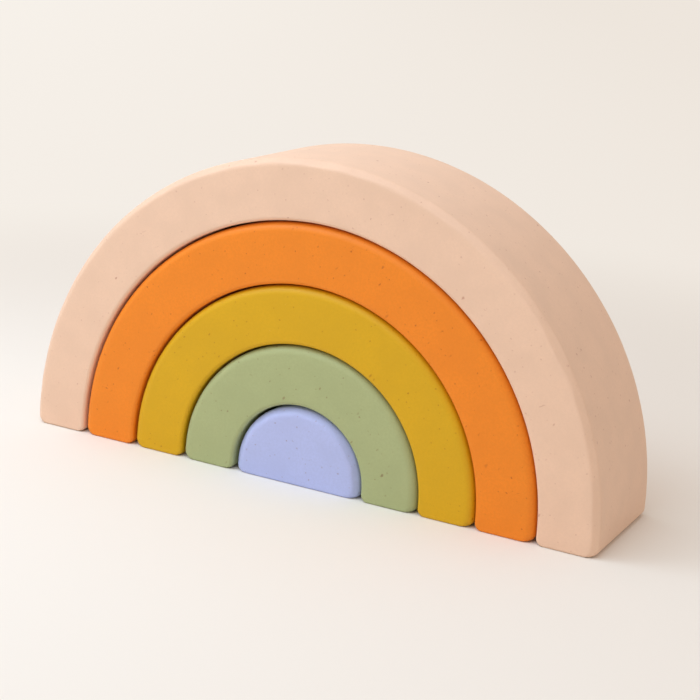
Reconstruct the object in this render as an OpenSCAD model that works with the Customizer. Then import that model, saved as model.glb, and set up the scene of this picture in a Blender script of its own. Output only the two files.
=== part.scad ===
/* [Set] */
// Depth of every piece, from front face to back face
set_depth = 43; // [20:0.5:80]

/* [Edges] */
// Radius of the rounding along the outer edges, and at the outer bottom corners of the feet
outer_edge_r = 2.4; // [1:0.1:6]
// Radius of the rounding along the inner edges, and at the inner bottom corners of the feet
inner_edge_r = 1.5; // [0.5:0.1:5]
// Radius of the rounding where the front and back faces meet the sole
sole_edge_r = 0.5; // [0.2:0.1:3]
// Straight height of each foot above its rounded bottom corners
foot_straight = 0.2; // [0.1:0.1:20]

/* [Nesting] */
// Radial clearance between one arch and the next
nest_gap = 0.5; // [0.3:0.1:2]
// Radial clearance between the core and the arch over it
core_gap = 0.7; // [0.3:0.1:2]

/* [Core] */
// Radius of the half-round core
core_r = 19.9; // [12:0.1:40]

/* [Arches] */
// Radial thickness of the sage arch
sage_wall = 16.9; // [8:0.1:40]
// Radial thickness of the mustard arch
mustard_wall = 16.5; // [8:0.1:40]
// Radial thickness of the orange arch
orange_wall = 17.2; // [8:0.1:40]
// Radial thickness of the peach arch
peach_wall = 17.3; // [8:0.1:40]

/* [Hidden] */
// Inner radius of each arch, from the piece that nests in it outwards
sage_in = core_r + core_gap;
mustard_in = sage_in + sage_wall + nest_gap;
orange_in = mustard_in + mustard_wall + nest_gap;
peach_in = orange_in + orange_wall + nest_gap;

// Height at which the straight feet pass into the half rings
spring_z = max(outer_edge_r, inner_edge_r, sole_edge_r) + foot_straight;
// A half ring runs from the right foot over the top to the left foot
half_turn = 180;
// Largest share of a piece's width or depth that the rounding of one edge may take
rounding_share = 0.45;
// Sides of a circle where the model is shown as facets
$fn = 128;

// Rounding that still leaves a flat on a thin piece
function rounding(r, width) = min(r, rounding_share * min(width, set_depth));

// Rectangle from the origin, with its own corner radius at the left and at the right.
// The lower corners are always round, the upper ones only where round_top is true.
module rounded_plate(width, height, left_r, right_r, round_top) {
    middle = (left_r + width - right_r) / 2;
    left_top = round_top ? height - left_r : height;
    right_top = round_top ? height - right_r : height;
    translate([left_r, 0]) square([width - left_r - right_r, height]);
    translate([0, left_r]) square([middle, left_top - left_r]);
    translate([middle, right_r]) square([width - middle, right_top - right_r]);
    translate([left_r, left_r]) circle(left_r);
    translate([width - right_r, right_r]) circle(right_r);
    if (round_top) {
        translate([left_r, height - left_r]) circle(left_r);
        translate([width - right_r, height - right_r]) circle(right_r);
    }
}

// Level section of a foot, and so of the half ring that stands on it
module level_section(width, left_r, right_r) {
    translate([0, -set_depth / 2]) rounded_plate(width, set_depth, left_r, right_r, true);
}

// Straight foot with its left side on the Y axis: round at its upright edges, at its bottom corners
// as they show from the front, and a little where the front and back faces meet the sole
module foot(width, left_r, right_r) {
    intersection() {
        linear_extrude(spring_z) level_section(width, left_r, right_r);
        rotate([90, 0, 0]) linear_extrude(2 * set_depth, center = true)
            rounded_plate(width, spring_z, left_r, right_r, false);
        rotate([90, 0, 90]) linear_extrude(width) translate([-set_depth / 2, 0])
            rounded_plate(set_depth, spring_z, sole_edge_r, sole_edge_r, false);
    }
}

// Arch on two feet, given by its inner radius and its radial thickness
module arch(inner_r, wall) {
    in_r = rounding(inner_edge_r, wall);
    out_r = rounding(outer_edge_r, wall);
    translate([0, 0, spring_z]) rotate([90, 0, 0]) rotate_extrude(angle = half_turn)
        translate([inner_r, 0]) level_section(wall, in_r, out_r);
    for (turn = [0, half_turn])
        rotate([0, 0, turn]) translate([inner_r, 0, 0]) foot(wall, in_r, out_r);
}

// Outermost arch, the one the others nest in
module peach_arch() {
    color([0.92, 0.76, 0.66]) arch(peach_in, peach_wall);
}

// Second arch
module orange_arch() {
    color([0.93, 0.51, 0.19]) arch(orange_in, orange_wall);
}

// Third arch
module mustard_arch() {
    color([0.84, 0.65, 0.17]) arch(mustard_in, mustard_wall);
}

// Fourth arch, over the core
module sage_arch() {
    color([0.66, 0.69, 0.51]) arch(sage_in, sage_wall);
}

// Solid half-round block in the middle
module lilac_core() {
    out_r = rounding(outer_edge_r, 2 * core_r);
    color([0.71, 0.74, 0.88]) {
        translate([0, 0, spring_z]) rotate([90, 0, 0]) rotate_extrude(angle = half_turn)
            intersection() {
                translate([-core_r, 0]) level_section(2 * core_r, out_r, out_r);
                translate([0, -set_depth / 2]) square([core_r, set_depth]);
            }
        translate([-core_r, 0, 0]) foot(2 * core_r, out_r, out_r);
    }
}

peach_arch();
orange_arch();
mustard_arch();
sage_arch();
lilac_core();
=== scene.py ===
from math import copysign, cos, hypot, pi, radians, sin, sqrt

import bmesh
import bpy
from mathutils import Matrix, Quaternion, Vector, noise


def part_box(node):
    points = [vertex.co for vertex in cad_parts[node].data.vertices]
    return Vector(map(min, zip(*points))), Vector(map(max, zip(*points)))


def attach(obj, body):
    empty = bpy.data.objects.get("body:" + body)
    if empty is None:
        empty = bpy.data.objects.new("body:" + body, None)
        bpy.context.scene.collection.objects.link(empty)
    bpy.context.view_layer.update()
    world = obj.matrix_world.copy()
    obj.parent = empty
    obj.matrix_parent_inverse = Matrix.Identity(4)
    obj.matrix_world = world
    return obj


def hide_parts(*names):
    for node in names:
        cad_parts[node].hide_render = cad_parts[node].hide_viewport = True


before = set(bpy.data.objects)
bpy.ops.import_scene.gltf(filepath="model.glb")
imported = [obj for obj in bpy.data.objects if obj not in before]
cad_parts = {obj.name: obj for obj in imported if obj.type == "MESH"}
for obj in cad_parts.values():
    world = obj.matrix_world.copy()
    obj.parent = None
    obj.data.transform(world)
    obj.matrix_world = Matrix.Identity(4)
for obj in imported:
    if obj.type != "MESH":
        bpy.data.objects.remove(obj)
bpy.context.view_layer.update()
scene = bpy.context.scene
scene.view_settings.view_transform = "Standard"


# Camera
# A short telephoto lens, a little above the set and to its right, tilted a few degrees as the photograph is.
camera_lens_mm = 88.4
camera_azimuth = radians(25.96)
camera_elevation = radians(15.15)
camera_roll = radians(4.53)
camera_distance = 0.4937
camera_target = Vector((0.0037, 0.0, 0.0360))

towards_camera = Vector((
    sin(camera_azimuth) * cos(camera_elevation),
    -cos(camera_azimuth) * cos(camera_elevation),
    sin(camera_elevation),
))
camera = bpy.data.objects.new("camera", bpy.data.cameras.new("camera"))
camera.data.lens = camera_lens_mm
camera.data.sensor_width = 36.0
camera.data.clip_start = 0.01
camera.location = camera_target + towards_camera * camera_distance
camera.rotation_mode = "QUATERNION"
level_view = (-towards_camera).to_track_quat("-Z", "Y")
camera.rotation_quaternion = level_view @ Quaternion((0.0, 0.0, 1.0), camera_roll)
scene.collection.objects.link(camera)
scene.camera = camera


# Floor
# A wide sheet of warm white card under the set. Close to the set it takes light and shadow, and further off
# it fades into the pale background, which is painted paler on the left and darker on the right: painted
# shade, as if the light fell off away from the lamps on the left.
class Field:
    """A value that varies over a surface: the output of one shader node."""

    def __init__(self, tree, socket):
        self.tree = tree
        self.socket = socket

    def make(self, kind, settings=None, inputs=None, output=0):
        """Any node, with its settings, the values or links of its inputs, and the output to read."""
        node = self.tree.nodes.new(kind)
        for name, value in (settings or {}).items():
            setattr(node, name, value)
        for key, value in (inputs or {}).items():
            if isinstance(value, Field):
                self.tree.links.new(value.socket, node.inputs[key])
            else:
                node.inputs[key].default_value = value
        return Field(self.tree, node.outputs[output])

    def output(self, name):
        """Another output of the same node."""
        return Field(self.tree, self.socket.node.outputs[name])

    def math(self, operation, first, second):
        return self.make("ShaderNodeMath", {"operation": operation}, {0: first, 1: second})

    def __add__(self, other):
        return self.math("ADD", self, other)

    def __radd__(self, other):
        return self.math("ADD", other, self)

    def __sub__(self, other):
        return self.math("SUBTRACT", self, other)

    def __rsub__(self, other):
        return self.math("SUBTRACT", other, self)

    def __mul__(self, other):
        return self.math("MULTIPLY", self, other)

    def __rmul__(self, other):
        return self.math("MULTIPLY", other, self)

    def __gt__(self, other):
        return self.math("GREATER_THAN", self, other)

    def ramp(self, low, high):
        """0 below low, 1 above high, with a smooth rise between; a low above high turns it round."""
        limits = {0: self, 1: low, 2: high, 3: 0.0, 4: 1.0}
        return self.make("ShaderNodeMapRange", {"interpolation_type": "SMOOTHSTEP"}, limits)

    def tint(self, base, other):
        """The base colour, passing into the other colour as this value goes from 0 to 1."""
        return self.make("ShaderNodeMix", {"data_type": "RGBA"}, {0: self, 6: base, 7: other}, 2)


def new_material(name):
    """An empty node material, with its place on the object and its output node."""
    material = bpy.data.materials.new(name)
    material.use_nodes = True
    tree = material.node_tree
    tree.nodes.clear()
    coordinates = tree.nodes.new("ShaderNodeTexCoord")
    output = tree.nodes.new("ShaderNodeOutputMaterial")
    return material, Field(tree, coordinates.outputs["Object"]), output


def new_piece(name, bm, material):
    """An object at the origin from a finished bmesh, shaded smooth."""
    for face in bm.faces:
        face.smooth = True
    mesh = bpy.data.meshes.new(name)
    bm.to_mesh(mesh)
    bm.free()
    mesh.materials.append(material)
    piece = bpy.data.objects.new(name, mesh)
    scene.collection.objects.link(piece)
    return piece


floor_half_width = 8.0
floor_drop = 0.00005
card_colour = (0.845, 0.82, 0.77, 1.0)
background_left = (0.93, 0.88, 0.82, 1.0)
background_right = (0.855, 0.79, 0.72, 1.0)
background_half_width = 0.45
darker_way = (0.887, 0.455, 0.0)
card_fade = (0.15, 0.40)

card, place, card_output = new_material("warm_white_card")
distance = place.make("ShaderNodeVectorMath", {"operation": "LENGTH"}, {0: place}, 1)
rays = place.make("ShaderNodeLightPath", output="Is Camera Ray")
seen = rays + rays.output("Is Glossy Ray") + rays.output("Is Transmission Ray")
lit = place.make("ShaderNodeBsdfDiffuse", inputs={"Color": card_colour})
# Painted shade: the far background gets darker towards the right, as if the light fell off away from the
# lamps.
across = place.make("ShaderNodeVectorMath", {"operation": "DOT_PRODUCT"}, {0: place, 1: darker_way}, 1)
to_the_right = across.ramp(-background_half_width, background_half_width)
background = to_the_right.tint(background_left, background_right)
far = place.make("ShaderNodeEmission", inputs={"Color": background})
faded = distance.ramp(*card_fade) * seen
blend = place.make("ShaderNodeMixShader", inputs={0: faded, 1: lit, 2: far})
card.node_tree.links.new(blend.socket, card_output.inputs["Surface"])

bm = bmesh.new()
bmesh.ops.create_grid(bm, x_segments=1, y_segments=1, size=floor_half_width)
bmesh.ops.translate(bm, verts=bm.verts, vec=(0.0, 0.0, -floor_drop))
floor = new_piece("floor", bm, card)


# Light
# A softbox high in front of the set and a small lamp close on its left, in a bright, warm room that is a
# little darker on the right. Bearings run from the front towards the left.
room_left = (0.75, 0.645, 0.566, 1.0)
room_right = (0.63, 0.542, 0.476, 1.0)
lamp_aim = Vector((0.0, 0.0, 0.04))
lamp_colour = (0.725, 0.86, 1.0)
lamps = {
    "softbox": {
        "bearing": radians(34.0),
        "rise": radians(58.0),
        "distance": 0.60,
        "side": 0.80,
        "watts": 2.62,
    },
    "left_lamp": {
        "bearing": radians(58.0),
        "rise": radians(50.0),
        "distance": 0.34,
        "side": 0.16,
        "watts": 0.30,
    },
}

world = bpy.data.worlds.new("bright_room")
world.use_nodes = True
world.node_tree.nodes.clear()
room = Field(world.node_tree, world.node_tree.nodes.new("ShaderNodeLightPath").outputs["Is Camera Ray"])
room_seen = room + room.output("Is Glossy Ray") + room.output("Is Transmission Ray")
looking = room.make("ShaderNodeTexCoord", output="Generated")
left_to_right = room.make("ShaderNodeSeparateXYZ", inputs={0: looking})
wall_colour = left_to_right.ramp(-1.0, 1.0).tint(room_left, room_right)
walls = room.make("ShaderNodeBackground", inputs={"Color": wall_colour})
behind = room.make("ShaderNodeBackground", inputs={"Color": background_left})
sky = room.make("ShaderNodeMixShader", inputs={0: room_seen, 1: walls, 2: behind})
world_output = world.node_tree.nodes.new("ShaderNodeOutputWorld")
world.node_tree.links.new(sky.socket, world_output.inputs["Surface"])
scene.world = world

for name, setting in lamps.items():
    towards_lamp = Vector((
        -sin(setting["bearing"]) * cos(setting["rise"]),
        -cos(setting["bearing"]) * cos(setting["rise"]),
        sin(setting["rise"]),
    ))
    lamp = bpy.data.objects.new(name, bpy.data.lights.new(name, "AREA"))
    lamp.data.size = setting["side"]
    lamp.data.color = lamp_colour
    lamp.data.energy = setting["watts"]
    lamp.location = lamp_aim + towards_lamp * setting["distance"]
    lamp.rotation_mode = "QUATERNION"
    lamp.rotation_quaternion = (-towards_lamp).to_track_quat("-Z", "Y")
    scene.collection.objects.link(lamp)


# Lilac core
# A solid half-round block in the middle of the set, pressed in a mould from dyed wood fibre. Its rim is well
# rounded, and it stands on a flat sole with an almost square edge.
inner_edge_r = 0.0012
inner_toe_r = 0.0020
sole_edge_r = 0.0005
edge_steps = 12
ring_steps = 192
wall_cuts = 4
depth_cuts = 11
merge_distance = 1e-6
core_least_flat = 0.42
rim_more_flat = 0.13
face_unevenness = 0.00006
wear_length = 0.008


def corner_inset(z, corner_r):
    """How far a foot's side has drawn in at a height, where its bottom corner is round."""
    return corner_r - sqrt(corner_r**2 - max(corner_r - z, 0.0) ** 2)


def half_round(inner_r, outer_r, depth, spring_z, rim_r, toe_r):
    """A half ring on two short straight feet, or a half-round block where the inner radius is 0."""
    bm = bmesh.new()
    reach = ((inner_r, -1), (outer_r, -1), (outer_r, 1), (inner_r, 1))
    corners = [bm.verts.new((x, side * depth / 2, spring_z)) for x, side in reach]
    sides = [bm.edges.new((corners[i - 1], corners[i])) for i in range(4)]
    bmesh.ops.subdivide_edges(bm, edges=[sides[1], sides[3]], cuts=wall_cuts)
    bmesh.ops.subdivide_edges(bm, edges=[sides[0], sides[2]], cuts=depth_cuts)
    bmesh.ops.edgeloop_fill(bm, edges=bm.edges)
    for corner_x, edge_r in ((inner_r, inner_edge_r), (outer_r, rim_r)):
        rim_corners = [
            v for v in bm.verts
            if corner_x > 0.0 and hypot(v.co.x - corner_x, abs(v.co.y) - depth / 2) < merge_distance
        ]
        bmesh.ops.bevel(
            bm,
            geom=rim_corners,
            offset=edge_r,
            segments=edge_steps,
            profile=0.5,
            affect="VERTICES",
            material=-1,
        )
    bmesh.ops.spin(
        bm,
        geom=[*bm.faces, *bm.edges, *bm.verts],
        cent=(0.0, 0.0, spring_z),
        axis=(0.0, -1.0, 0.0),
        angle=pi,
        steps=ring_steps,
    )
    bmesh.ops.remove_doubles(bm, verts=bm.verts, dist=merge_distance)

    # The feet, carried down from the ends of the half ring and drawn in towards their soles
    ends = [f for f in bm.faces if all(abs(v.co.z - spring_z) < merge_distance for v in f.verts)]
    inside, outside, half_depth = inner_r, outer_r, depth / 2
    for step in range(edge_steps + 1):
        z = toe_r * (1.0 - sin(pi / 2 * step / edge_steps))
        next_inside = inner_r + corner_inset(z, inner_toe_r) if inner_r > 0.0 else 0.0
        next_outside = outer_r - corner_inset(z, toe_r)
        next_half_depth = depth / 2 - corner_inset(z, sole_edge_r)
        grown = bmesh.ops.extrude_face_region(bm, geom=ends)["geom"]
        bmesh.ops.delete(bm, geom=ends, context="FACES")
        ends = [part for part in grown if isinstance(part, bmesh.types.BMFace)]
        for vert in (part for part in grown if isinstance(part, bmesh.types.BMVert)):
            share = (abs(vert.co.x) - inside) / (outside - inside)
            x = next_inside + share * (next_outside - next_inside)
            vert.co = (copysign(x, vert.co.x), vert.co.y * next_half_depth / half_depth, z)
        inside, outside, half_depth = next_inside, next_outside, next_half_depth
    bmesh.ops.recalc_face_normals(bm, faces=bm.faces)
    return bm


def hand_finish(bm, outer_r, depth, spring_z, rim_r, least_flat):
    """Outer rims planed flatter here and there, and faces not quite even; nothing is added outside."""
    bm.normal_update()
    moves = []
    for vert in bm.verts:
        from_centre = Vector((vert.co.x, 0.0, max(vert.co.z - spring_z, 0.0)))
        outward = from_centre.normalized()
        forward = Vector((0.0, copysign(1.0, vert.co.y), 0.0))
        corner = outward * outer_r + forward * depth / 2
        rubbed = 0.5 + 0.6 * noise.noise(corner / wear_length) + 0.3 * noise.noise(corner * 2.3 / wear_length)
        planed = rim_r * (least_flat + rim_more_flat * rubbed)
        from_corner = (outer_r - from_centre.length + depth / 2 - abs(vert.co.y)) / sqrt(2.0)
        uneven = face_unevenness * (0.5 + 0.5 * noise.noise(vert.co / wear_length))
        move = (outward + forward) * max(planed - from_corner, 0.0) / sqrt(2.0) + vert.normal * uneven
        moves.append((vert, move * min(max(vert.co.z / spring_z, 0.0), 1.0)))
    for vert, move in moves:
        vert.co -= move
    return bm


bark_share = (0.58, 0.36, 0.32, 1.0)
mottle_scale = 110.0
grain_scale = 1500.0
crumb_scale = 1600.0
crumb_shift = (0.0005, 0.0005, 0.0005)
dark_flecks = {"spacing": 0.0030, "radius": 0.00048, "share": 0.6, "stretch": 2.0, "turn": (0.7, 0.2, 0.9)}
fine_flecks = {"spacing": 0.0018, "radius": 0.00036, "share": 0.8, "stretch": 1.6, "turn": (1.4, 0.9, 0.2)}
short_fibres = {"spacing": 0.0026, "radius": 0.00026, "share": 0.55, "stretch": 8.0}
fibre_turns = ((0.4, 1.1, 0.3), (1.9, 0.5, 1.2))
pale_specks = {"spacing": 0.0050, "radius": 0.00036, "share": 0.6}
bump_depth = 0.00006


def flecks(place, spacing, radius, share, stretch=1.0, turn=(0.0, 0.0, 0.0)):
    """Flecks in a share of the places that lie about one spacing apart, drawn out along one direction."""
    across = {"Vector": place, "Rotation": turn, "Scale": (1.0, 1.0, stretch)}
    turned = place.make("ShaderNodeMapping", {"vector_type": "TEXTURE"}, across)
    cells = place.make("ShaderNodeTexVoronoi", inputs={"Vector": turned, "Scale": 1.0 / spacing})
    chance = place.make("ShaderNodeSeparateColor", inputs={0: cells.output("Color")})
    reach = radius / spacing
    uneven = cells + 0.6 * reach * chance.output("Green")
    strength = 0.4 + 0.6 * chance.output("Blue")
    return uneven.ramp(reach, 0.4 * reach) * strength * (chance > 1.0 - share)


def shade(dye, factor):
    """A darker or paler dye."""
    return tuple(min(1.0, part * factor) for part in dye[:3]) + (1.0,)


def pressed_fibre(name, dye, showing):
    """Matte pressed wood fibre, dyed through, with its grain and flecks showing more or less."""
    material, place, output = new_material(name)
    mottle = place.make("ShaderNodeTexNoise", inputs={"Vector": place, "Scale": mottle_scale, "Detail": 4.0})
    grain = place.make("ShaderNodeTexNoise", inputs={"Vector": place, "Scale": grain_scale, "Detail": 2.0})
    crumbs = place.make("ShaderNodeTexNoise", inputs={"Vector": place, "Scale": crumb_scale, "Detail": 1.0})
    ragged = crumbs.make(
        "ShaderNodeVectorMath",
        {"operation": "MULTIPLY_ADD"},
        {0: crumbs.output("Color"), 1: crumb_shift, 2: place},
    )
    dark = flecks(ragged, **dark_flecks)
    fine = flecks(ragged, **fine_flecks)
    fibres_one_way, fibres_other_way = (flecks(ragged, **short_fibres, turn=turn) for turn in fibre_turns)
    fibres = fibres_one_way + fibres_other_way
    pale = flecks(ragged, **pale_specks)
    bark = tuple(part * share for part, share in zip(dye, bark_share))

    colour = mottle.ramp(0.3, 0.7).tint(shade(dye, 0.972), shade(dye, 1.024))
    colour = (0.35 * showing * grain.ramp(0.35, 0.65)).tint(colour, shade(dye, 0.93))
    colour = (0.35 * pale).tint(colour, tuple(0.25 + 0.75 * part for part in dye))
    colour = (0.50 * showing * fine).tint(colour, bark)
    colour = (0.55 * showing * fibres).tint(colour, bark)
    colour = (0.85 * dark).tint(colour, bark)

    height = 0.6 * grain + 0.4 * mottle - 0.5 * dark - 0.4 * fibres
    bump = place.make("ShaderNodeBump", inputs={"Strength": 0.5, "Distance": bump_depth, "Height": height})
    fibre = place.make(
        "ShaderNodeBsdfPrincipled",
        inputs={
            "Base Color": colour,
            "Roughness": 0.48 + 0.10 * mottle,
            "Specular IOR Level": 0.33,
            "Sheen Weight": 0.04,
            "Sheen Roughness": 0.3,
            "Normal": bump,
        },
    )
    material.node_tree.links.new(fibre.socket, output.inputs["Surface"])
    return material


lilac_dye = (0.46, 0.52, 0.84, 1.0)
lilac_flecks_showing = 1.4
core_rim_r = 0.0030
core_toe_r = 0.0020

low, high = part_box("lilac_core")
depth = high.y - low.y
spring_z = high.z - high.x
core_mesh = half_round(0.0, high.x, depth, spring_z, core_rim_r, core_toe_r)
core_mesh = hand_finish(core_mesh, high.x, depth, spring_z, core_rim_r, core_least_flat)
lilac_fibre = pressed_fibre("lilac_fibre", lilac_dye, lilac_flecks_showing)
core = new_piece("lilac_core_block", core_mesh, lilac_fibre)
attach(core, "lilac_core")
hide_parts("lilac_core")


# Arches
# Four half rings that nest over the core, each pressed like it from dyed wood fibre and standing on two flat
# soles. Nothing fastens them: each slides out through the open end of the next. The inner three keep round
# rims, and the outer one is planed a little.
arch_rim_r = 0.0025
arch_toe_r = 0.0024
arch_dyes = {
    "sage": (0.40, 0.45, 0.22, 1.0),
    "mustard": (0.68, 0.39, 0.004, 1.0),
    "orange": (0.87, 0.245, 0.013, 1.0),
    "peach": (0.83, 0.575, 0.42, 1.0),
}
arch_least_flat = {"sage": 0.30, "mustard": 0.30, "orange": 0.30, "peach": 0.42}
flecks_showing = {"sage": 1.3, "mustard": 1.3, "orange": 1.6, "peach": 0.8}

for colour_name, dye in arch_dyes.items():
    node = colour_name + "_arch"
    low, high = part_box(node)
    ring = [v.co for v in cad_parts[node].data.vertices if v.co.z > spring_z]
    inner_r = min(hypot(co.x, co.z - spring_z) for co in ring)
    arch_mesh = half_round(inner_r, high.x, depth, spring_z, arch_rim_r, arch_toe_r)
    arch_mesh = hand_finish(arch_mesh, high.x, depth, spring_z, arch_rim_r, arch_least_flat[colour_name])
    arch_fibre = pressed_fibre(colour_name + "_fibre", dye, flecks_showing[colour_name])
    arch = new_piece(colour_name + "_half_ring", arch_mesh, arch_fibre)
    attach(arch, node)
    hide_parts(node)
